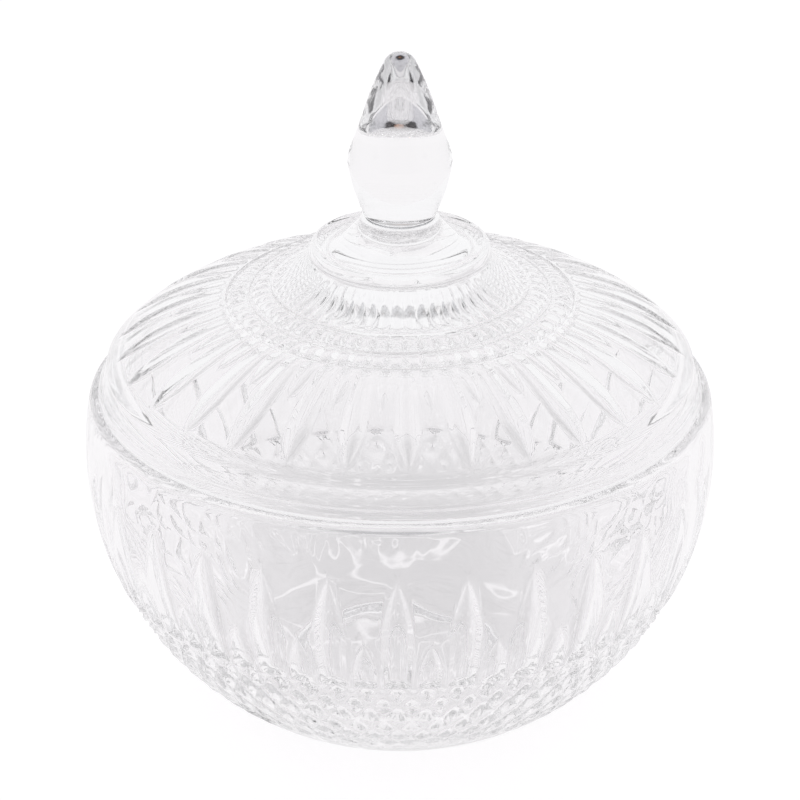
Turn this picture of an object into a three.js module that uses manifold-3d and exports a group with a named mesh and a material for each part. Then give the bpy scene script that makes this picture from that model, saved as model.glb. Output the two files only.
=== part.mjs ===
// A round lidded jar of clear pressed glass: a bowl, a domed lid that rests on the bowl's lip,
// and a solid finial held on the lid's collar by a thin clear bond.
// Millimetres, +Z up. The jar stands on Z = 0 and is turned about the Z axis.
import * as THREE from "three";
import { mergeVertices } from "three/addons/utils/BufferGeometryUtils.js";
import Module from "manifold-3d";

const wasm = await Module();
wasm.setup();

// Driving dimensions
const bowlRadius = 80; // the bowl's widest outside radius
const bowlWall = 4.6;
const bowlCentreHeight = 71.2; // the widest level
const rimHeight = 86; // the top of the bowl's lip
const footRadius = 34.6; // outside of the ring that the bowl stands on
const footRingWidth = 5.5;
const footRecess = 1.6; // how far the base is hollowed inside the foot ring
const floorHeight = 8.2; // the inside floor, above the ground
const floorRound = 0.08; // radians of the inside curve given up to the round at the floor
const lipRound = 1.3; // the lip's outer corner

// The bowl's pointed cuts, by the angle of their widest point below the widest level
const bowlLongCut = { down: 13, turn: 0, toTip: 17, toHeel: 12, width: 7.2 };
const bowlShortCut = { down: 16.5, turn: 0.5, toTip: 9, toHeel: 8, width: 5.6 };
const bowlCutDepth = 1.1;

const seatGap = 0.1; // the lid rests this far above the lip
const domeRadius = 80; // half axes of the lid's elliptical dome, and the level of its centre
const domeRise = 37;
const domeCentreHeight = 80.6;
const domeWall = 4.8;
const lidEdgeRadius = 76.4;
const lidEdgeHeight = 90.6; // where the dome turns down into the edge
const spigotRadius = 73; // the ring under the lid that drops into the bowl
const spigotWall = 3.6;
const spigotDepth = 4.8;
const spigotRound = 0.5;

// The lid's pointed cuts, by the radius of their widest point
const lidLongCut = { at: 60, turn: 0, toTip: 14, toHeel: 15, width: 6.6 };
const lidShortCut = { at: 54, turn: 0.5, toTip: 7, toHeel: 9, width: 4.6 };
const lidCutDepth = 1.2;

const beadInnerRadius = 32; // three thin raised rings, and the two bands of beads between them
const beadOuterRadius = 43.8;
const beadRingHeight = 0.4;
const beadRingWidth = 0.9;
const sweepRadii = [28.5, 26, 24]; // steps of the lid's upward sweep, between the rings and the collar
const collarRadius = 22.6;
const collarLift = 5.9; // how far the lid sweeps up from the dome to the collar's foot
const collarSweep = 3.2; // how late in the sweep the lid turns upwards
const collarRimHeight = 126.5;
const moatRadius = 18.2; // the shallow channel inside the collar's rim
const moatHeight = 125.2;
const bossRadius = 9.4; // the round top that carries the finial
const bossHeight = 133.2;

const bondThickness = 0.3;
const bondGap = 0.02;
const finialFootRadius = 9;
const finialRadius = 13;
const finialWidestRise = 14.4; // above the finial's foot
const finialHeight = 42.7;
const finialTipRadius = 4.4;
const finialTaper = 20; // degrees off the axis, where the tip's round begins
const finialFootRound = 0.5;
const finialSideSteps = 18;

const around = 60; // flat sides of every turned surface: two for each long cut
const longCuts = 30;
const fullTurn = 2 * Math.PI;

// Materials: one each, so that every piece is its own slot
function glass(colour, roughness) {
  return new THREE.MeshStandardMaterial({ color: colour, roughness: roughness, metalness: 0 });
}

function point(radius, height) {
  return new THREE.Vector2(radius, height);
}

// Points of an ellipse centred on the axis, from one angle above its level to another.
function ellipseArc(radius, rise, level, fromAngle, toAngle, steps) {
  const points = [];
  for (let i = 0; i <= steps; i++) {
    const angle = THREE.MathUtils.lerp(fromAngle, toAngle, i / steps);
    points.push(point(radius * Math.cos(angle), level + rise * Math.sin(angle)));
  }
  return points;
}

function turned(profile) {
  const geometry = new THREE.LatheGeometry(profile, around);
  geometry.rotateX(Math.PI / 2);
  return geometry;
}

function solidOf(geometry) {
  const bare = geometry.clone();
  bare.deleteAttribute("normal");
  bare.deleteAttribute("uv");
  const merged = mergeVertices(bare, 1e-4);
  const corners = [];
  for (let i = 0; i < merged.index.count; i += 3) {
    const [a, b, c] = merged.index.array.subarray(i, i + 3);
    if (a !== b && b !== c && c !== a) corners.push(a, b, c);
  }
  return new wasm.Manifold(
    new wasm.Mesh({
      numProp: 3,
      vertProperties: merged.attributes.position.array,
      triVerts: new Uint32Array(corners),
    }),
  );
}

function geometryOf(solid) {
  const mesh = solid.getMesh();
  const geometry = new THREE.BufferGeometry();
  geometry.setAttribute("position", new THREE.BufferAttribute(mesh.vertProperties, 3));
  geometry.setIndex(new THREE.BufferAttribute(mesh.triVerts, 1));
  return geometry;
}

// A pointed cutter: long to its tip and short to its heel, with a V section.
// It lies along the meridian at angle, its widest point on the surface at (radius, height).
function lancetCutter({ radius, height, slope, width, depth, toTip, toHeel }, angle) {
  const geometry = new THREE.OctahedronGeometry(1);
  const place = geometry.attributes.position;
  for (let i = 0; i < place.count; i++) {
    const along = place.getZ(i);
    const reach = along > 0 ? toTip : toHeel;
    place.setXYZ(i, place.getX(i) * depth, place.getY(i) * (width / 2), along * reach);
  }
  geometry.rotateY(slope);
  geometry.translate(radius, 0, height);
  geometry.rotateZ(angle);
  return geometry;
}

function withLancets(solid, cuts) {
  let result = solid;
  for (const cut of cuts) {
    for (let i = 0; i < longCuts; i++) {
      const angle = ((i + cut.turn) * fullTurn) / longCuts - Math.PI / 2;
      result = result.subtract(solidOf(lancetCutter(cut, angle)));
    }
  }
  return result;
}

// The bowl: close to a full sphere, cut off at the foot ring and at the lip.
function bowlMesh() {
  const inside = bowlRadius - bowlWall;
  const floorAngle = Math.asin((floorHeight - bowlCentreHeight) / inside);
  const lipInside = Math.asin((rimHeight - bowlCentreHeight) / inside);
  const lipOutside = Math.asin((rimHeight - lipRound - bowlCentreHeight) / bowlRadius);
  const footAngle = -Math.acos(footRadius / bowlRadius);
  const rise = bowlCentreHeight / Math.sin(-footAngle);
  const floorRadius = inside * Math.cos(floorAngle);
  const outer = ellipseArc(bowlRadius, rise, bowlCentreHeight, footAngle, lipOutside, 16);
  const inner = ellipseArc(inside, inside, bowlCentreHeight, lipInside, floorAngle + floorRound, 12);
  const lipRadius = outer[outer.length - 1].x;
  const profile = [
    point(0, footRecess),
    point(footRadius - footRingWidth - 1, footRecess),
    point(footRadius - footRingWidth, 0),
    ...outer,
    point(lipRadius - lipRound, rimHeight),
    ...inner,
    point(floorRadius - 1.5, floorHeight + 0.8),
    point(floorRadius - 5.5, floorHeight),
    point(0, floorHeight),
  ];
  const cuts = [bowlLongCut, bowlShortCut].map((cut) => {
    const down = THREE.MathUtils.degToRad(cut.down);
    return {
      ...cut,
      radius: bowlRadius * Math.cos(down),
      height: bowlCentreHeight - rise * Math.sin(down),
      slope: down,
      depth: bowlCutDepth,
    };
  });
  const material = glass(0xf1f3f6, 0.04);
  return new THREE.Mesh(geometryOf(withLancets(solidOf(turned(profile)), cuts)), material);
}

// The height of the lid's dome, outside, at a radius.
function domeAt(radius) {
  return domeCentreHeight + domeRise * Math.sqrt(1 - (radius / domeRadius) ** 2);
}

// Inside the outer bead ring the lid sweeps up from its dome to the collar.
function shoulderAt(radius) {
  const lift = Math.max(0, (beadOuterRadius - radius) / (beadOuterRadius - collarRadius));
  return domeAt(radius) + collarLift * lift ** collarSweep;
}

// A thin raised ring on the lid at a radius, from its outer side to its inner side.
function beadRing(radius) {
  return [
    point(radius + beadRingWidth, shoulderAt(radius + beadRingWidth)),
    point(radius, shoulderAt(radius) + beadRingHeight),
    point(radius - beadRingWidth, shoulderAt(radius - beadRingWidth)),
  ];
}

// The lid: dome, bead rings and collar pressed as one piece, hollow underneath.
function lidMesh() {
  const seat = rimHeight + seatGap;
  const spigotInside = spigotRadius - spigotWall;
  const beadMiddle = (beadInnerRadius + beadOuterRadius) / 2;
  const hollow = domeRadius - domeWall;
  const startAngle = Math.acos((beadOuterRadius + 2) / domeRadius);
  const edgeAngle = Math.acos((lidEdgeRadius - 0.6) / domeRadius);
  const hollowAngle = Math.acos(spigotInside / hollow);
  const profile = [
    point(spigotInside, rimHeight - spigotDepth),
    point(spigotRadius - spigotRound, rimHeight - spigotDepth),
    point(spigotRadius, rimHeight - spigotDepth + spigotRound),
    point(spigotRadius, seat),
    point(lidEdgeRadius - spigotRound, seat),
    point(lidEdgeRadius, seat + spigotRound),
    point(lidEdgeRadius, lidEdgeHeight),
    ...ellipseArc(domeRadius, domeRise, domeCentreHeight, edgeAngle, startAngle, 9),
    ...beadRing(beadOuterRadius),
    ...beadRing(beadMiddle),
    ...beadRing(beadInnerRadius),
    ...[...sweepRadii, collarRadius].map((radius) => point(radius, shoulderAt(radius))),
    point(collarRadius + 0.25, shoulderAt(collarRadius) + 1.5),
    point(collarRadius + 0.1, collarRimHeight - 2),
    point(collarRadius - 0.55, collarRimHeight - 0.5),
    point(collarRadius - 1.3, collarRimHeight),
    point(collarRadius - 2.3, collarRimHeight - 0.3),
    point(moatRadius, moatHeight),
    point(moatRadius - 2.6, moatHeight + 1.3),
    point(bossRadius + 3.3, bossHeight - 4),
    point(bossRadius + 1.1, bossHeight - 1.6),
    point(bossRadius + 0.4, bossHeight - 0.35),
    point(bossRadius - 0.3, bossHeight),
    point(0, bossHeight),
    point(0, domeCentreHeight + domeRise - domeWall),
    ...ellipseArc(hollow, domeRise - domeWall, domeCentreHeight, Math.PI / 2, hollowAngle, 10).slice(1),
    point(spigotInside, rimHeight - spigotDepth),
  ];
  const cuts = [lidLongCut, lidShortCut].map((cut) => {
    const along = Math.acos(cut.at / domeRadius);
    return {
      ...cut,
      radius: cut.at,
      height: domeAt(cut.at),
      slope: Math.PI / 2 + Math.atan2(domeRise * Math.cos(along), domeRadius * Math.sin(along)),
      depth: lidCutDepth,
    };
  });
  const material = glass(0xf3f4f7, 0.04);
  return new THREE.Mesh(geometryOf(withLancets(solidOf(turned(profile)), cuts)), material);
}

function bondMesh() {
  const low = bossHeight + bondGap;
  const high = low + bondThickness;
  const radius = finialFootRadius - 0.2;
  const profile = [point(0, low), point(radius, low), point(radius, high), point(0, high)];
  return new THREE.Mesh(turned(profile), glass(0xe6e8ec, 0.15));
}

// The finial: solid, drawn out from a round foot to a widest belt, then to a blunt pointed tip.
function finialMesh() {
  const foot = bossHeight + bondThickness + 2 * bondGap;
  const tipLevel = finialHeight - finialTipRadius;
  const tipStart = THREE.MathUtils.degToRad(finialTaper);
  const tip = ellipseArc(finialTipRadius, finialTipRadius, tipLevel, tipStart, Math.PI / 2, 5);
  const side = new THREE.SplineCurve([
    point(finialFootRadius, 0.4),
    point(finialFootRadius + 1.25, 3.6),
    point(finialFootRadius + 2.6, 7.6),
    point(finialRadius - 0.5, finialWidestRise - 3.2),
    point(finialRadius, finialWidestRise),
    point(finialRadius - 0.55, finialWidestRise + 3),
    point(finialRadius - 1.7, finialWidestRise + 6.3),
    point(finialRadius - 3.6, 26.2),
    point(finialRadius - 6.1, 33.6),
    tip[0],
  ]);
  const foundation = [point(0, 0), point(finialFootRadius - finialFootRound, 0)];
  const profile = [...foundation, ...side.getPoints(finialSideSteps), ...tip.slice(1)];
  const lifted = profile.map((p) => point(Math.max(p.x, 0), p.y + foot));
  lifted[lifted.length - 1].x = 0;
  return new THREE.Mesh(turned(lifted), glass(0xf4f5f8, 0.03));
}

function named(mesh, name) {
  mesh.name = name;
  return mesh;
}

const jar = new THREE.Group();
jar.add(named(bowlMesh(), "bowl"));
jar.add(named(lidMesh(), "lid"));
jar.add(named(bondMesh(), "finial_bond"));
jar.add(named(finialMesh(), "finial"));

export default jar;
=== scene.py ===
# Lidded glass jar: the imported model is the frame, and the glass is turned, cut and lit here.
import math

import bmesh
import bpy
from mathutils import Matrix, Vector


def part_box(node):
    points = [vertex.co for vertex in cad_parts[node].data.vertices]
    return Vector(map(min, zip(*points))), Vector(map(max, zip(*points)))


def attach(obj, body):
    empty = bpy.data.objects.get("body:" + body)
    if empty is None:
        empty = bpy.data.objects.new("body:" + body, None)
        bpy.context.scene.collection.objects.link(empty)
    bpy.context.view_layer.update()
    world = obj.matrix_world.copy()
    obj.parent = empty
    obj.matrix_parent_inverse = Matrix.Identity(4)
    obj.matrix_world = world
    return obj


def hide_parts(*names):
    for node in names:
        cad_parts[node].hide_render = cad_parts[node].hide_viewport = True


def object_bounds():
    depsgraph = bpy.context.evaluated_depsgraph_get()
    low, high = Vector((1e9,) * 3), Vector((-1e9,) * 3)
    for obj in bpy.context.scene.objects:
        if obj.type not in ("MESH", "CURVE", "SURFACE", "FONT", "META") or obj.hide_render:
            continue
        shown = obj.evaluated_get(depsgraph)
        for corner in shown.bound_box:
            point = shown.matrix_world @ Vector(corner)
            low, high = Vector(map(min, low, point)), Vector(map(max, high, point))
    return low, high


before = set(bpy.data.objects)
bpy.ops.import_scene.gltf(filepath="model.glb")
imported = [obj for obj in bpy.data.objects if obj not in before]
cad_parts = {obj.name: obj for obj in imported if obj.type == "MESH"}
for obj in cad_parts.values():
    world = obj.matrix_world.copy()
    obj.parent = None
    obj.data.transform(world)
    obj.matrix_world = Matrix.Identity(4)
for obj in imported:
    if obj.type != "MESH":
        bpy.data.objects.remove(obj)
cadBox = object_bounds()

scene = bpy.context.scene
bowlLow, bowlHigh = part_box("bowl")
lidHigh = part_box("lid")[1]
bondLow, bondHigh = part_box("finial_bond")
finialLow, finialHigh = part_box("finial")
mm = 0.001
periods = 30  # long cuts round the jar; a short one stands between each two
halfSteps = 10  # mesh columns in half a period
columns = periods * 2 * halfSteps
sharpFrom = 62  # degrees between faces, from which an edge stays sharp
print("frame loaded, bowl radius", round(bowlHigh.x, 4))


# turned glass

def arc(radius, rise, level, fromAngle, toAngle, steps):
    # points of an ellipse centred on the axis at the given level, both ends included
    points = []
    for i in range(steps + 1):
        angle = fromAngle + (toAngle - fromAngle) * i / steps
        points.append((radius * math.cos(angle), level + rise * math.sin(angle)))
    return points


def smoothLine(points, each):
    # a soft curve through the given points
    line = []
    for i in range(len(points) - 1):
        before = Vector(points[max(i - 1, 0)])
        start = Vector(points[i])
        end = Vector(points[i + 1])
        after = Vector(points[min(i + 2, len(points) - 1)])
        for k in range(each):
            t = k / each
            bend = start * 2 + (end - before) * t
            bend += (before * 2 - start * 5 + end * 4 - after) * t * t
            bend += (start * 3 - before - end * 3 + after) * t * t * t
            line.append(tuple(bend / 2))
    line.append(tuple(points[-1]))
    return line


def mixed(a, b, t):
    return a + (b - a) * t


def eased(value, low, high):
    t = min(max((value - low) / (high - low), 0), 1)
    return t * t * (3 - 2 * t)


def evenSteps():
    return [0.5 * k / halfSteps for k in range(halfSteps + 1)]


def padSteps():
    # columns that crowd together beside the grooves, one at each end of the half period
    return [0, 0.016, 0.05, 0.1, 0.17, 0.25, 0.33, 0.4, 0.45, 0.484, 0.5]


pastTip = 0.2  # half width, in periods, that the columns open out to past the tips of the cuts


def cutSteps(longHalf, shortHalf):
    # columns that follow the edges of a long cut and of the short one beside it
    edge = 0.011  # a column stands this far either side of a cut's edge
    least = 0.03  # near a cut's tip its columns still stand this far from its middle
    longHalf = max(longHalf, least)
    shortHalf = max(shortHalf, least)
    far = 0.5 - shortHalf
    return [
        0, 0.36 * longHalf, 0.72 * longHalf, longHalf - edge, longHalf + edge,
        (longHalf + far) / 2,
        far - edge, far + edge, 0.5 - 0.72 * shortHalf, 0.5 - 0.36 * shortHalf, 0.5,
    ]


def blendSteps(a, b, t):
    return [mixed(p, q, t) for p, q in zip(a, b)]


def turnedPiece(name, outline, body, node, wedges=periods, wedgeColumns=2 * halfSteps, press=None):
    # turns an outline of (radius, height) by one wedge, presses the cuts in, then repeats the wedge
    # the outline runs from the axis round the outside, so its right hand is the glass's outside
    bm = bmesh.new()
    rowOf = bm.verts.layers.int.new("row")
    last = None
    for row, (radius, height) in enumerate(outline):
        v = bm.verts.new((max(radius, 0), 0, height))
        v[rowOf] = row
        if last:
            bm.edges.new((last, v))
        last = v
    wedge = math.tau / wedges
    bmesh.ops.spin(
        bm, geom=bm.verts[:] + bm.edges[:], cent=(0, 0, 0), axis=(0, 0, 1), dvec=(0, 0, 0),
        angle=wedge, steps=wedgeColumns, use_merge=False, use_duplicate=False,
    )
    if press:
        pressCuts(bm, rowOf, outline, **press)
    bmesh.ops.spin(
        bm, geom=bm.verts[:] + bm.edges[:] + bm.faces[:], cent=(0, 0, 0), axis=(0, 0, 1),
        dvec=(0, 0, 0), angle=math.tau - wedge, steps=wedges - 1, use_merge=False, use_duplicate=True,
    )
    bmesh.ops.remove_doubles(bm, verts=bm.verts, dist=1e-6)
    bmesh.ops.recalc_face_normals(bm, faces=bm.faces)
    mesh = bpy.data.meshes.new(name)
    bm.to_mesh(mesh)
    bm.free()
    mesh.polygons.foreach_set("use_smooth", [True] * len(mesh.polygons))
    mesh.set_sharp_from_angle(angle=math.radians(sharpFrom))
    piece = bpy.data.objects.new(name, mesh)
    scene.collection.objects.link(piece)
    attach(piece, body)
    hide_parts(node)
    print(name, len(mesh.polygons), "faces")
    return piece


def outwardOf(outline, row):
    before = outline[max(row - 1, 0)]
    after = outline[min(row + 1, len(outline) - 1)]
    along = Vector((after[0] - before[0], after[1] - before[1]))
    if along.length == 0:
        return (0, 0)
    along.normalize()
    return (along.y, -along.x)


def pressCuts(bm, rowOf, outline, rowSteps, depthAt, turn):
    # each vertex slides round to its column's place, then sinks along the outline's normal
    stepsOf = [rowSteps(radius, height, row) for row, (radius, height) in enumerate(outline)]
    outward = [outwardOf(outline, row) for row in range(len(outline))]
    for v in bm.verts:
        row = v[rowOf]
        radius, height = outline[row]
        if radius < 1e-6:
            continue
        k = round(math.atan2(v.co.y, v.co.x) / math.tau * columns)
        u = stepsOf[row][k] if k <= halfSteps else 1 - stepsOf[row][2 * halfSteps - k]
        depth = depthAt(radius, height, row, u)
        radius -= depth * outward[row][0]
        height -= depth * outward[row][1]
        angle = u / periods * math.tau + math.radians(turn) - math.pi / 2
        v.co = (radius * math.cos(angle), radius * math.sin(angle), height)


# bowl

bowlShape = {
    "radius": bowlHigh.x,
    "rim": bowlHigh.z,
    "wall": 4.6 * mm,
    "widestLevel": 71.2 * mm,
    "footRadius": 34.6 * mm,
    "footRing": 5.5 * mm,
    "recess": 1.6 * mm,
    "floor": 8.2 * mm,
    "longTip": 73 * mm,
    "longWidest": 57 * mm,
    "shortTip": 54.5 * mm,
    "shortWidest": 45 * mm,
    "cutEnd": 40 * mm,
    "cutRunout": 1.2 * mm,
    "longHalf": 0.235,  # half widths, in periods
    "shortHalf": 0.185,
    "endLong": 0.21,
    "endShort": 0.18,
    "steep": 0.45,  # depth over half width of a cut
    "bands": [(40, 0), (36, 0.5), (31, 1), (21.6, 2), (12.8, 3)],  # height in mm, diamonds down
    "diamondDepth": 1.5 * mm,
    "diamondEdge": 0.44,  # half width of the groove between diamonds, in diamonds
    "shallowBelow": 31 * mm,  # the lowest diamonds are pressed half as deep
    "shallowOver": 6 * mm,
    "lastBandEnd": 3 * mm,
    "lines": 3,  # how many of the levels in bands carry a plain line
    "lineDepth": 1.1 * mm,
    "lineHalf": 0.9 * mm,
    "turn": -0.4,  # degrees
}


def pointedHalf(height, tip, widest, end, half, endHalf):
    # half width of a pointed cut: zero at its tip, widest lower down, a little narrower at its end
    if height >= tip:
        return 0
    if height >= widest:
        t = (height - widest) / (tip - widest)
        return half * (1 - t ** 1.7)
    t = (widest - height) / (widest - end)
    return mixed(half, endHalf, min(t, 1) ** 1.5)


def hollow(u, half, steep, arcLength):
    # the depth of a hollow cut at u periods from its middle: as steep at its edges near the tip as lower down
    if half <= 0 or u >= half:
        return 0
    return steep * half * arcLength * (1 - (u / half) ** 2)


def diamondsDown(height):
    bands = bowlShape["bands"]
    level = height / mm
    for (high, a), (low, b) in zip(bands, bands[1:]):
        if level >= low:
            return mixed(a, b, (high - level) / (high - low))
    return bands[-1][1]


def bowlOutline():
    s = bowlShape
    inside = s["radius"] - s["wall"]
    level = s["widestLevel"]
    lipOut = math.asin((s["rim"] - 1.5 * mm - level) / s["radius"])
    foot = -math.acos(s["footRadius"] / s["radius"])
    rise = level / math.sin(-foot)
    outer = []

    def angleAt(height):
        return -math.asin((level - height) / rise)

    def stretch(fromHeight, toHeight, steps):
        outer.extend(arc(s["radius"], rise, level, angleAt(fromHeight), angleAt(toHeight), steps)[:-1])

    stretch(level + rise * math.sin(lipOut), s["longTip"], 9)
    stretch(s["longTip"], s["cutEnd"] + s["cutRunout"], 34)
    stretch(s["cutEnd"] + s["cutRunout"], s["cutEnd"], 4)
    for (high, a), (low, b) in zip(s["bands"], s["bands"][1:]):
        stretch(high * mm, low * mm, round((b - a) * 10))
    stretch(s["bands"][-1][0] * mm, 0.9 * mm, 8)
    outer.append((s["footRadius"] - 0.1 * mm, 0.25 * mm))
    outer.append((s["footRadius"] - 0.7 * mm, 0))
    ringIn = s["footRadius"] - s["footRing"]
    under = [(ringIn + 0.4 * mm, 0), (ringIn, 0.25 * mm), (ringIn - 0.8 * mm, s["recess"])]
    under += [(ringIn * k, s["recess"]) for k in (0.8, 0.5, 0.2)]
    under.append((0, s["recess"]))
    floorAngle = math.asin((s["floor"] - level) / inside) + 0.09
    lipIn = math.asin((s["rim"] - 0.6 * mm - level) / inside)
    inner = arc(inside, inside, level, floorAngle, lipIn, 26)
    corner = inner[0]
    flat = smoothLine([
        (0.55 * corner[0], s["floor"] - 0.2 * mm),
        (0.8 * corner[0], s["floor"] + 0.2 * mm),
        (0.93 * corner[0], mixed(s["floor"], corner[1], 0.32)),
        corner,
    ], 4)[:-1]
    floor = [(0, s["floor"] - 0.5 * mm), (0.3 * corner[0], s["floor"] - 0.4 * mm)] + flat
    outerTop = outer[0]
    innerTop = inner[-1]
    lip = smoothLine([
        innerTop,
        (innerTop[0] + 0.5 * mm, s["rim"] - 0.12 * mm),
        (innerTop[0] + 1.3 * mm, s["rim"]),
        (outerTop[0] - 1.3 * mm, s["rim"]),
        (outerTop[0] - 0.45 * mm, s["rim"] - 0.45 * mm),
        outerTop,
    ], 4)[1:-1]
    return (floor + inner + lip + outer + under)[::-1]


def bowlHalves(height):
    # half widths of the long and the short cut, in periods
    s = bowlShape
    end = s["cutEnd"]
    longHalf = pointedHalf(height, s["longTip"], s["longWidest"], end, s["longHalf"], s["endLong"])
    shortHalf = pointedHalf(height, s["shortTip"], s["shortWidest"], end, s["shortHalf"], s["endShort"])
    return longHalf, shortHalf


def bowlSteps(radius, height, row):
    s = bowlShape
    if row > bowlOuterTo:
        return evenSteps()
    if height >= s["cutEnd"]:
        longHalf, shortHalf = bowlHalves(height)
        longHalf = mixed(longHalf, pastTip, eased(height, s["longTip"], s["longTip"] + 6 * mm))
        shortHalf = mixed(shortHalf, pastTip, eased(height, s["shortTip"], s["shortTip"] + 5 * mm))
        return cutSteps(longHalf, shortHalf)
    belowCuts = eased(s["cutEnd"] - height, 0, 1 * mm)
    return blendSteps(cutSteps(s["endLong"], s["endShort"]), evenSteps(), belowCuts)


def bowlDepth(radius, height, row, u):
    s = bowlShape
    if row > bowlOuterTo:
        return 0
    if height >= s["cutEnd"]:
        arcLength = math.tau * radius / periods
        longHalf, shortHalf = bowlHalves(height)
        deep = hollow(min(u, 1 - u), longHalf, s["steep"], arcLength)
        deep += hollow(abs(u - 0.5), shortHalf, s["steep"], arcLength)
        return deep * eased(height, s["cutEnd"], s["cutEnd"] + s["cutRunout"])
    last = s["bands"][-1][0] * mm
    down = diamondsDown(height)
    cell = 2 * u
    crossing = min(
        abs(cell - down - round(cell - down)),
        abs(cell + down - round(cell + down)),
    )
    groove = max(0, 1 - crossing / s["diamondEdge"])
    shallow = 1 - 0.5 * eased(s["shallowBelow"] - height, 0, s["shallowOver"])
    deep = s["diamondDepth"] * groove * shallow
    for level, _ in s["bands"][:s["lines"]]:
        line = max(0, 1 - abs(height - level * mm) / s["lineHalf"])
        deep = max(deep, s["lineDepth"] * line)
    return deep * eased(height, last - s["lastBandEnd"], last)


bowlProfile = bowlOutline()
bowlOuterTo = max(range(len(bowlProfile)), key=lambda i: bowlProfile[i][1]) - 3  # the outside's last row
bowl = turnedPiece("bowl_cut_glass", bowlProfile, "bowl", "bowl", press={
    "rowSteps": bowlSteps, "depthAt": bowlDepth, "turn": bowlShape["turn"],
})


# lid

lidShape = {
    "seat": 86.1 * mm,
    "dome": 80 * mm,
    "rise": 37 * mm,
    "level": 80.6 * mm,
    "wall": 4.8 * mm,
    "edge": lidHigh.x,
    "edgeTop": 90.6 * mm,
    "spigot": 73 * mm,
    "spigotWall": 3.6 * mm,
    "spigotDepth": 4.8 * mm,
    "edgeInset": 2.4 * mm,  # of the dome from the edge, for the edge's round
    "rings": (32.2, 38, 43.8),  # mm
    "ringHalf": 0.42 * mm,
    "padDepth": 1.15 * mm,  # of the gaps between beads
    "padGap": 0.3,  # half width of a gap, in beads
    "padEnd": 1.3 * mm,
    "outerStep": 0.3 * mm,  # the dome's drop outside the outer ring
    "ribDepth": 0.36 * mm,
    "ribFade": 2 * mm,
    "collar": 22.6 * mm,
    "collarLift": 5.9 * mm,
    "collarSweep": 3.2,  # how late the dome turns up to the collar
    "collarRim": 126.5 * mm,
    "moat": 18.2 * mm,
    "moatLevel": 125.2 * mm,
    "boss": 9.4 * mm,
    "bossTop": lidHigh.z,
    "longTip": 71.2 * mm,
    "longWidest": 62.6 * mm,
    "shortTip": 56.4 * mm,
    "longHalf": 0.24,
    "startHalf": 0.225,
    "steep": 0.44,
    "turn": 1.7,  # degrees
}


def domeAt(radius):
    s = lidShape
    return s["level"] + s["rise"] * math.sqrt(1 - (radius / s["dome"]) ** 2)


def shoulderAt(radius):
    # the dome runs up towards the collar in a hollow curve inside the outer ring
    outerRing = lidShape["rings"][2] * mm
    lift = max(0, (outerRing - radius) / (outerRing - lidShape["collar"]))
    return domeAt(radius) + lidShape["collarLift"] * lift ** lidShape["collarSweep"]


def ringRows(ring):
    # rows of radii, in mm, over a thin ring
    return [ring + 0.55, ring + 0.28, ring, ring - 0.28, ring - 0.55]


def rowsBetween(outer, inner, count):
    return [mixed(outer, inner, k / count) for k in range(1, count)]


def lidOutline():
    s = lidShape
    seat = s["seat"]
    spigotIn = s["spigot"] - s["spigotWall"]
    bottom = seat - 0.1 * mm - s["spigotDepth"]
    hollowRadius = s["dome"] - s["wall"]
    hollowAngle = math.acos(spigotIn / hollowRadius)
    inside = arc(hollowRadius, s["rise"] - s["wall"], s["level"], math.pi / 2, hollowAngle, 20)
    spigot = [
        (spigotIn, bottom + 3.4 * mm), (spigotIn, bottom + 1 * mm), (spigotIn + 0.3 * mm, bottom + 0.3 * mm),
        (spigotIn + 1 * mm, bottom), (s["spigot"] - 0.9 * mm, bottom),
        (s["spigot"] - 0.25 * mm, bottom + 0.3 * mm), (s["spigot"], bottom + 0.9 * mm),
        (s["spigot"], seat - 0.3 * mm), (s["spigot"] + 0.3 * mm, seat),
        (s["edge"] - 0.6 * mm, seat), (s["edge"] - 0.15 * mm, seat + 0.2 * mm), (s["edge"], seat + 0.7 * mm),
    ]
    dome = []
    domeRows = 40
    for i in range(domeRows):
        radius = mixed(s["edge"] - s["edgeInset"], 45 * mm, i / domeRows)
        dome.append((radius, domeAt(radius)))
    edge = smoothLine([
        (s["edge"], seat + 0.7 * mm), (s["edge"] - 0.15 * mm, seat + 1.9 * mm),
        (s["edge"] - 0.6 * mm, seat + 3.1 * mm), (s["edge"] - 1.3 * mm, s["edgeTop"] - 0.5 * mm), dome[0],
    ], 5)[1:-1]
    inner, middle, outer = s["rings"]
    radii = ringRows(outer) + rowsBetween(outer - 0.55, middle + 0.55, 8)
    radii += ringRows(middle) + rowsBetween(middle - 0.55, inner + 0.55, 8)
    collarFoot = s["collar"] / mm + 0.1
    radii += ringRows(inner) + rowsBetween(inner - 0.55, collarFoot, 12) + [collarFoot]
    bands = [(r * mm, shoulderAt(r * mm)) for r in radii]
    foot = shoulderAt(s["collar"])
    collar = smoothLine([
        (s["collar"] - 0.25 * mm, foot + 0.25 * mm),
        (s["collar"] + 0.25 * mm, foot + 1.5 * mm),
        (s["collar"] + 0.1 * mm, s["collarRim"] - 2.0 * mm),
        (s["collar"] - 0.55 * mm, s["collarRim"] - 0.5 * mm),
        (s["collar"] - 1.3 * mm, s["collarRim"]),
        (s["collar"] - 2.3 * mm, s["collarRim"] - 0.3 * mm),
        (s["moat"], s["moatLevel"]),
        (s["moat"] - 2.6 * mm, s["moatLevel"] + 1.3 * mm),
        (s["boss"] + 3.3 * mm, s["bossTop"] - 4.0 * mm),
        (s["boss"] + 1.1 * mm, s["bossTop"] - 1.6 * mm),
        (s["boss"] + 0.4 * mm, s["bossTop"] - 0.35 * mm),
        (s["boss"] - 0.3 * mm, s["bossTop"]),
    ], 3)
    return inside + spigot + edge + dome + bands + collar + [(0, s["bossTop"])]


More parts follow.
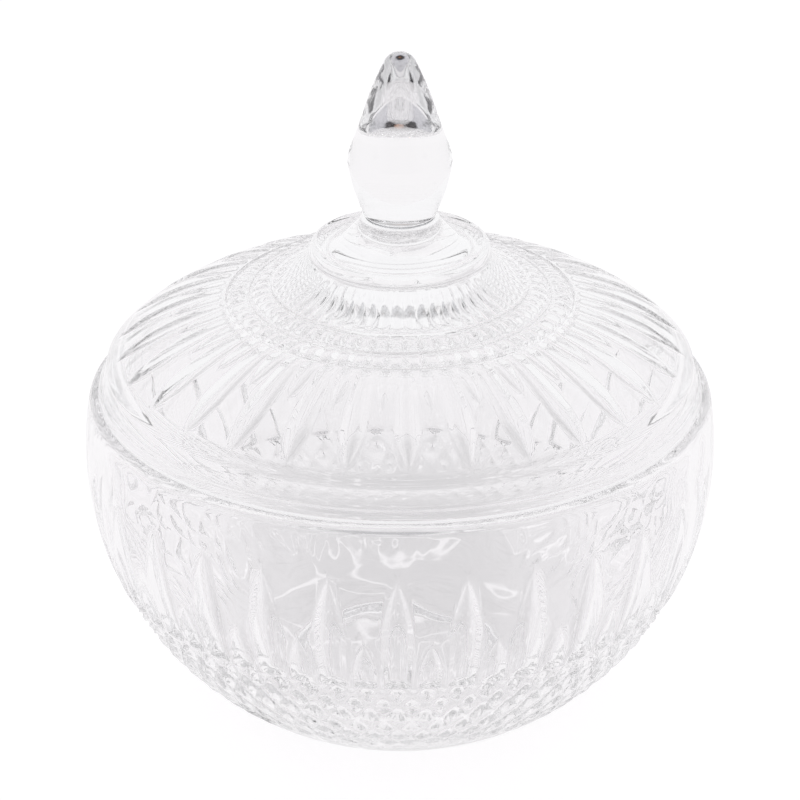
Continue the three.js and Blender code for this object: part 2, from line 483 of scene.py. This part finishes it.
def lidSteps(radius, height, row):
    s = lidShape
    if row < lidOuterFrom or row >= lidOuterTo:
        return evenSteps()
    if radius < s["rings"][2] * mm + 0.5 * mm:
        return padSteps()
    longHalf, shortHalf = lidHalves(radius)
    longHalf = mixed(longHalf, pastTip, eased(radius, s["longTip"], s["longTip"] + 4 * mm))
    shortHalf = mixed(shortHalf, pastTip, eased(radius, s["shortTip"], s["shortTip"] + 5 * mm))
    start = eased(radius, s["rings"][2] * mm + 0.5 * mm, s["rings"][2] * mm + 1.6 * mm)
    return blendSteps(padSteps(), cutSteps(longHalf, shortHalf), start)


def lidHalves(radius):
    s = lidShape
    start = s["rings"][2] * mm
    if radius >= s["longTip"]:
        longHalf = 0
    elif radius >= s["longWidest"]:
        t = (radius - s["longWidest"]) / (s["longTip"] - s["longWidest"])
        longHalf = s["longHalf"] * (1 - t ** 1.4)
    else:
        longHalf = mixed(s["startHalf"], s["longHalf"], (radius - start) / (s["longWidest"] - start))
    t = min(max((radius - start) / (s["shortTip"] - start), 0), 1)
    return longHalf, s["startHalf"] * (1 - t ** 2.2)


def lidDepth(radius, height, row, u):
    s = lidShape
    if row < lidOuterFrom or row >= lidOuterTo:
        return 0
    cell = abs(2 * u - round(2 * u))  # 0 on a groove, a half in the middle of a pad
    rings = [r * mm for r in s["rings"]]
    if radius < rings[2] + 0.6 * mm:
        near = min(abs(radius - r) for r in rings)
        ring = max(0, 1 - near / s["ringHalf"])
        if radius < rings[0]:
            fade = eased(radius, s["collar"], s["collar"] + s["ribFade"])
            return s["ribDepth"] * fade * (1 - math.sin(math.pi * cell)) * (1 - ring)
        if radius >= rings[2]:
            return s["outerStep"] * (1 - ring)
        across = max(0, 1 - cell / s["padGap"])
        between = max(0, 1 - (near - s["ringHalf"]) / s["padEnd"])
        pad = max(across ** 1.2, between * 0.8)
        return s["padDepth"] * pad * (1 - ring)
    arcLength = math.tau * radius / periods
    longHalf, shortHalf = lidHalves(radius)
    deep = hollow(min(u, 1 - u), longHalf, s["steep"], arcLength)
    deep += hollow(abs(u - 0.5), shortHalf, s["steep"], arcLength)
    return deep * eased(radius, rings[2] + 0.4 * mm, rings[2] + 1.6 * mm)


lidProfile = lidOutline()
lidOuterFrom = next(  # the outside's rows, from the edge to the collar
    i for i, p in enumerate(lidProfile) if i > 30 and p[0] >= lidShape["edge"] - 0.01 * mm
) + 1
lidOuterTo = next(
    i for i, p in enumerate(lidProfile) if i > lidOuterFrom and p[0] < lidShape["collar"] + 0.05 * mm
)
lid = turnedPiece("lid_cut_glass", lidProfile, "lid", "lid", press={
    "rowSteps": lidSteps, "depthAt": lidDepth, "turn": lidShape["turn"],
})


# finial and its bond

finialShape = {
    "foot": 9.0 * mm,
    "widest": finialHigh.x - 0.04 * mm,
    "widestRise": 14.4 * mm,
    "tip": 4.4 * mm,
    "taper": 20,  # degrees off the axis
}


def finialOutline():
    s = finialShape
    base = finialLow.z
    top = finialHigh.z
    wide = s["widest"]
    start = math.radians(s["taper"])
    tip = arc(s["tip"], s["tip"], top - s["tip"], start, math.pi / 2, 9)
    tip[-1] = (0, top)
    side = smoothLine([
        (s["foot"], base + 0.4 * mm),
        (s["foot"] + 1.25 * mm, base + 3.6 * mm),
        (s["foot"] + 2.6 * mm, base + 7.6 * mm),
        (wide - 0.5 * mm, base + s["widestRise"] - 3.2 * mm),
        (wide, base + s["widestRise"]),
        (wide - 0.55 * mm, base + s["widestRise"] + 3.0 * mm),
        (wide - 1.7 * mm, base + s["widestRise"] + 6.3 * mm),
        (wide - 3.6 * mm, base + 26.2 * mm),
        (wide - 6.1 * mm, base + 33.6 * mm),
        tip[0],
    ], 6)[:-1]
    return [(0, base), (s["foot"] * 0.5, base), (s["foot"] - 0.5 * mm, base)] + side + tip


finial = turnedPiece("finial_glass", finialOutline(), "lid", "finial", 12, 12)
bondRadius = bondHigh.x - 0.05 * mm
bond = turnedPiece("finial_bond_film", [
    (0, bondLow.z), (bondRadius - 0.1 * mm, bondLow.z), (bondRadius, bondLow.z + 0.1 * mm),
    (bondRadius, bondHigh.z - 0.1 * mm), (bondRadius - 0.1 * mm, bondHigh.z), (0, bondHigh.z),
], "lid", "finial_bond", 12, 12)


# nodes

def feed(tree, socket, value):
    # a socket takes a plain value, or a link from the output that feeds it
    if isinstance(value, bpy.types.NodeSocket):
        tree.links.new(value, socket)
    else:
        socket.default_value = value


def addMath(tree, operation, *values):
    node = tree.nodes.new("ShaderNodeMath")
    node.operation = operation
    for socket, value in zip(node.inputs, values):
        feed(tree, socket, value)
    return node.outputs["Value"]


def addVector(tree, operation, *values):
    node = tree.nodes.new("ShaderNodeVectorMath")
    node.operation = operation
    for socket, value in zip(node.inputs, values):
        feed(tree, socket, value)
    return node.outputs["Value" if operation in ("LENGTH", "DOT_PRODUCT") else "Vector"]


def addRange(tree, source, fromEnds, toEnds, smooth=False):
    node = tree.nodes.new("ShaderNodeMapRange")
    node.interpolation_type = "SMOOTHSTEP" if smooth else "LINEAR"
    node.inputs["From Min"].default_value = fromEnds[0]
    node.inputs["From Max"].default_value = fromEnds[1]
    node.inputs["To Min"].default_value = toEnds[0]
    node.inputs["To Max"].default_value = toEnds[1]
    feed(tree, node.inputs["Value"], source)
    return node.outputs["Result"]


def addNoise(tree, place, scale, detail=2, distortion=0):
    node = tree.nodes.new("ShaderNodeTexNoise")
    node.inputs["Scale"].default_value = scale
    node.inputs["Detail"].default_value = detail
    node.inputs["Distortion"].default_value = distortion
    feed(tree, node.inputs["Vector"], place)
    return node.outputs["Fac"]


def addRamp(tree, source, stops):
    node = tree.nodes.new("ShaderNodeValToRGB")
    ends = node.color_ramp.elements
    for end, (position, colour) in zip(ends, (stops[0], stops[-1])):
        end.position = position
        end.color = colour
    for position, colour in stops[1:-1]:
        ends.new(position).color = colour
    feed(tree, node.inputs["Fac"], source)
    return node


def addMix(tree, factor, a, b, kind="FLOAT", blend="MIX"):
    node = tree.nodes.new("ShaderNodeMix")
    node.data_type = kind
    node.blend_type = blend
    feed(tree, node.inputs["Factor"], factor)
    feed(tree, node.inputs["A"], a)
    feed(tree, node.inputs["B"], b)
    return node.outputs["Result"]


def addShader(tree, kind, *values):
    node = tree.nodes.new("ShaderNode" + kind)
    for socket, value in zip(node.inputs, values):
        feed(tree, socket, value)
    return node.outputs[0]


# glass

glassLook = {  # roughness from clear to worn, height of the mould ripple, and how fine both are
    "bowl": {"colour": (0.962, 0.957, 0.962, 1), "rough": (0.0, 0.04), "ripple": 0.9, "scale": 16},
    "lid": {"colour": (0.955, 0.952, 0.955, 1), "rough": (0.0, 0.03), "ripple": 0.4, "scale": 16},
    "finial": {"colour": (0.95, 0.946, 0.95, 1), "rough": (0.0, 0.015), "ripple": 0.02, "scale": 90},
    "bond": {"colour": (0.9, 0.91, 0.93, 1), "rough": (0.08, 0.2), "ripple": 0.1, "scale": 400},
    "index": 1.52,
    "wornEnds": (0.45, 0.8),
    "rippleFiner": 1.7,
    "rippleDistance": 0.003,
}
footStainAndReflection = {
    "thick": 0.05 * mm,  # only the foot's flat face carries the stain and the painted reflection
    "stretch": (1, 1.5, 0),
    "shift": (0, -2 * mm, 0),
    "fineness": 420,
    "wobble": 2.4 * mm,
    "reach": 10 * mm,
    "stops": [  # share of the reach, and the colour with how clear the glass stays in place of alpha; the orange centre and the dark patch are a painted reflection, the pale grey beyond is the adhesive
        (0.0, (0.9, 0.4, 0.1, 0.1)),
        (0.2, (0.6, 0.2, 0.06, 0.1)),
        (0.27, (0.02, 0.01, 0.01, 0.05)),
        (0.52, (0.05, 0.04, 0.05, 0.1)),
        (0.6, (0.84, 0.83, 0.87, 0.64)),
        (1.0, (0.92, 0.91, 0.94, 0.66)),
    ],
}


def glassMaterial(name, look):
    # pressed glass: faint mould ripple, and wear that clouds it a little in patches
    material = bpy.data.materials.new(name)
    material.use_nodes = True
    tree = material.node_tree
    shader = tree.nodes["Principled BSDF"]
    shader.inputs["Base Color"].default_value = look["colour"]
    shader.inputs["Transmission Weight"].default_value = 1
    shader.inputs["IOR"].default_value = glassLook["index"]
    place = tree.nodes.new("ShaderNodeTexCoord").outputs["Object"]
    wear = addNoise(tree, place, look["scale"], detail=4)
    feed(tree, shader.inputs["Roughness"], addRange(tree, wear, glassLook["wornEnds"], look["rough"]))
    ripple = addNoise(tree, place, look["scale"] * glassLook["rippleFiner"], detail=1.5)
    bump = tree.nodes.new("ShaderNodeBump")
    bump.inputs["Strength"].default_value = look["ripple"]
    bump.inputs["Distance"].default_value = glassLook["rippleDistance"]
    feed(tree, bump.inputs["Height"], ripple)
    feed(tree, shader.inputs["Normal"], bump.outputs["Normal"])
    return material


def bondedFoot(material, level):
    # the finial's foot is keyed half matt for the adhesive, which shows pale grey, with a painted reflection
    # in its middle: a dark patch round an orange centre
    tree = material.node_tree
    shader = tree.nodes["Principled BSDF"]
    place = tree.nodes.new("ShaderNodeTexCoord").outputs["Object"]
    split = tree.nodes.new("ShaderNodeSeparateXYZ")
    feed(tree, split.inputs[0], place)
    atFoot = addMath(tree, "LESS_THAN", split.outputs["Z"], level + footStainAndReflection["thick"])
    flat = addVector(tree, "MULTIPLY_ADD", place, footStainAndReflection["stretch"], footStainAndReflection["shift"])
    away = addVector(tree, "LENGTH", flat)
    wobble = addNoise(tree, place, footStainAndReflection["fineness"])
    ragged = addMath(tree, "MULTIPLY_ADD", wobble, footStainAndReflection["wobble"], away)
    share = addMath(tree, "DIVIDE", ragged, footStainAndReflection["reach"])
    # the ramp paints a reflection, an orange centre in a dark patch, with the pale grey adhesive round it
    stainAndReflection = addRamp(tree, share, footStainAndReflection["stops"])
    plain = tuple(shader.inputs["Base Color"].default_value)
    tint = addMix(tree, atFoot, plain, stainAndReflection.outputs["Color"], kind="RGBA")
    clear = addMix(tree, atFoot, 1, stainAndReflection.outputs["Alpha"])
    feed(tree, shader.inputs["Base Color"], tint)
    feed(tree, shader.inputs["Transmission Weight"], clear)


for piece, look, slot in (
    (bowl, "bowl", "bowl_glass"),
    (lid, "lid", "lid_glass"),
    (finial, "finial", "finial_glass"),
    (bond, "bond", "bond_film"),
):
    piece.data.materials.append(glassMaterial(look + "Glass", glassLook[look]))
bondedFoot(finial.data.materials[0], finialLow.z)
print("glass done")


# studio

studio = {
    "distance": 12 * bowlHigh.x,  # from the jar's middle
    "elevation": 25.5,  # degrees
    "lens": 170,
    "aim": bowlLow.z + 82.4 * mm,  # the level that the camera's axis passes through
}
sheetLook = {
    "half": 6.0,  # half the side of the sheet that the jar stands on
    "under": 0.2 * mm,
    "seen": 0.93,
    "tint": (1, 0.988, 1, 1),
    "matte": (0.16, 0.16, 0.16, 1),
    "squash": (1.6, 1, 1),  # the shade that the glass sees is narrow from side to side
    "shift": (0, -0.06, 0),  # and lies behind the jar
    "shadeEnds": (0.02, 0.14),
    "shade": (0.655, 0.86),
    "curlScale": 26,
    "curlTwist": 1.6,
    "curlHalf": 0.03,
    "curlGlow": 0.22,
    "curlFade": (0.08, 0.16),
}
tentLook = {
    "greys": [  # up the tent, from straight down to straight up
        (0.0, (0.9, 0.9, 0.91, 1)),
        (0.5, (1, 1, 1.01, 1)),
        (0.62, (0.98, 0.98, 0.9898, 1)),
        (0.92, (1, 1, 1.01, 1)),
        (0.96, (0.6, 0.6, 0.606, 1)),
        (1.0, (0.5, 0.5, 0.52, 1)),
    ],
    "frontEnds": (-0.6, -0.9),
    "front": (1.0, 0.75),  # the dim side that the camera stands on
    "cardToward": (0.772, -0.371, 0.516),  # a dark card, and its mirror image on the other side
    "cardEnds": (0.94, 0.965),
    "card": (1.0, 0.01),
}


def sheetGlow(tree):
    # what the glass sees: a shade behind the jar, and light that it gathers into thin curling lines
    place = tree.nodes.new("ShaderNodeTexCoord").outputs["Object"]
    shifted = addVector(tree, "MULTIPLY_ADD", place, sheetLook["squash"], sheetLook["shift"])
    away = addVector(tree, "LENGTH", shifted)
    shade = addRange(tree, away, sheetLook["shadeEnds"], sheetLook["shade"], smooth=True)
    near = addRange(tree, away, sheetLook["curlFade"], (1, 0))
    curl = addNoise(tree, place, sheetLook["curlScale"], detail=1, distortion=sheetLook["curlTwist"])
    thin = addMath(tree, "ABSOLUTE", addMath(tree, "SUBTRACT", curl, 0.5))
    line = addRange(tree, thin, (0, sheetLook["curlHalf"]), (sheetLook["curlGlow"], 0), smooth=True)
    return addMath(tree, "MULTIPLY_ADD", line, near, shade)


def makeFloor():
    bm = bmesh.new()
    bmesh.ops.create_grid(bm, x_segments=1, y_segments=1, size=sheetLook["half"])
    mesh = bpy.data.meshes.new("floor")
    bm.to_mesh(mesh)
    bm.free()
    floor = bpy.data.objects.new("floor", mesh)
    floor.location.z = cadBox[0][2] - sheetLook["under"]
    scene.collection.objects.link(floor)
    material = bpy.data.materials.new("paleFloor")
    material.use_nodes = True
    tree = material.node_tree
    tree.nodes.clear()
    path = tree.nodes.new("ShaderNodeLightPath")
    strength = addMix(tree, path.outputs["Is Camera Ray"], sheetGlow(tree), sheetLook["seen"])
    glow = addShader(tree, "Emission", sheetLook["tint"], strength)
    matte = addShader(tree, "BsdfDiffuse", sheetLook["matte"])
    both = addShader(tree, "AddShader", glow, matte)
    clear = addShader(tree, "BsdfTransparent")
    under = tree.nodes.new("ShaderNodeNewGeometry").outputs["Backfacing"]  # from below, the sheet isn't there
    oneSided = addShader(tree, "MixShader", under, both, clear)
    out = tree.nodes.new("ShaderNodeOutputMaterial")
    feed(tree, out.inputs["Surface"], oneSided)
    mesh.materials.append(material)


def makeWorld():
    # white to the eye; the glass also sees soft grey cards round a white tent
    world = bpy.data.worlds.new("tent")
    scene.world = world
    world.use_nodes = True
    tree = world.node_tree
    tree.nodes.clear()
    way = tree.nodes.new("ShaderNodeTexCoord").outputs["Generated"]
    split = tree.nodes.new("ShaderNodeSeparateXYZ")
    feed(tree, split.inputs[0], way)
    grey = addRamp(tree, addRange(tree, split.outputs["Z"], (-1, 1), (0, 1)), tentLook["greys"])
    front = addRange(tree, split.outputs["Y"], tentLook["frontEnds"], tentLook["front"])
    folded = tree.nodes.new("ShaderNodeCombineXYZ")
    feed(tree, folded.inputs["X"], addMath(tree, "ABSOLUTE", split.outputs["X"]))
    feed(tree, folded.inputs["Y"], split.outputs["Y"])
    feed(tree, folded.inputs["Z"], split.outputs["Z"])
    toward = addVector(tree, "DOT_PRODUCT", folded.outputs["Vector"], tentLook["cardToward"])
    card = addRange(tree, toward, tentLook["cardEnds"], tentLook["card"])
    dim = addMath(tree, "MULTIPLY", front, card)
    shade = addMix(tree, 1, grey.outputs["Color"], dim, kind="RGBA", blend="MULTIPLY")
    path = tree.nodes.new("ShaderNodeLightPath")
    seen = addShader(tree, "Background", shade)
    white = addShader(tree, "Background", (1, 1, 1, 1))
    pick = addShader(tree, "MixShader", path.outputs["Is Camera Ray"], seen, white)
    out = tree.nodes.new("ShaderNodeOutputWorld")
    feed(tree, out.inputs["Surface"], pick)


def makeCamera():
    data = bpy.data.cameras.new("camera")
    data.lens = studio["lens"]
    data.sensor_width = 36
    data.clip_end = 50
    camera = bpy.data.objects.new("camera", data)
    angle = math.radians(studio["elevation"])
    middle = Vector((0, 0, studio["aim"]))
    camera.location = middle + studio["distance"] * Vector((0, -math.cos(angle), math.sin(angle)))
    camera.rotation_euler = (math.pi / 2 - angle, 0, 0)
    scene.collection.objects.link(camera)
    scene.camera = camera


makeFloor()
makeWorld()
makeCamera()
scene.view_settings.view_transform = "Standard"
scene.cycles.max_bounces = 40  # light crosses many walls of glass, and turns inside them
scene.cycles.transmission_bounces = 40
scene.cycles.glossy_bounces = 24
print("studio done")
